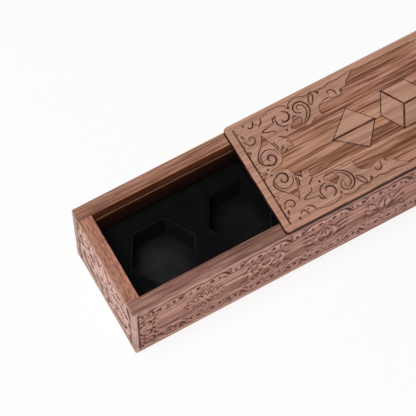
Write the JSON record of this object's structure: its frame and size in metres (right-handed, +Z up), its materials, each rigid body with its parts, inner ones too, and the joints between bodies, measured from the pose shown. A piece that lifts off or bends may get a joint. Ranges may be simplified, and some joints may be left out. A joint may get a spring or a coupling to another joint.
{
  "type": "dice storage chest",
  "caption": "Long carved walnut box with a full-width sliding lid on a T-shaped runner and a black insert with a row of hexagonal pockets for dice.",
  "frame": {"origin": "centre of the flat underside of the box", "axes": "+X along the box, the way the lid opens; +Y to the back; +Z up"},
  "size_m": [0.3239, 0.0558, 0.0516],
  "materials": {
    "walnut_box": "oiled, satin",
    "walnut_lid": "oiled, satin",
    "flock": "flocked, matt",
    "magnet": "plated"
  },
  "bodies": {
    "box": {"base_panel": "walnut_box", "front_wall": "walnut_box", "back_wall": "walnut_box", "left_end_wall": "walnut_box", "right_end_wall": "walnut_box", "insert": "flock", "wall_magnet_front": "magnet", "wall_magnet_back": "magnet"},
    "lid": {"lid_panel": "walnut_lid", "lid_runner": "walnut_lid", "lid_magnet_front": "magnet", "lid_magnet_back": "magnet"}
  },
  "joints": [
    {"name": "lid_slide", "type": "slide", "parent": "box", "child": "lid", "axis": [1, 0, 0], "range_m": [-0.0743, 0.17676]}
  ]
}
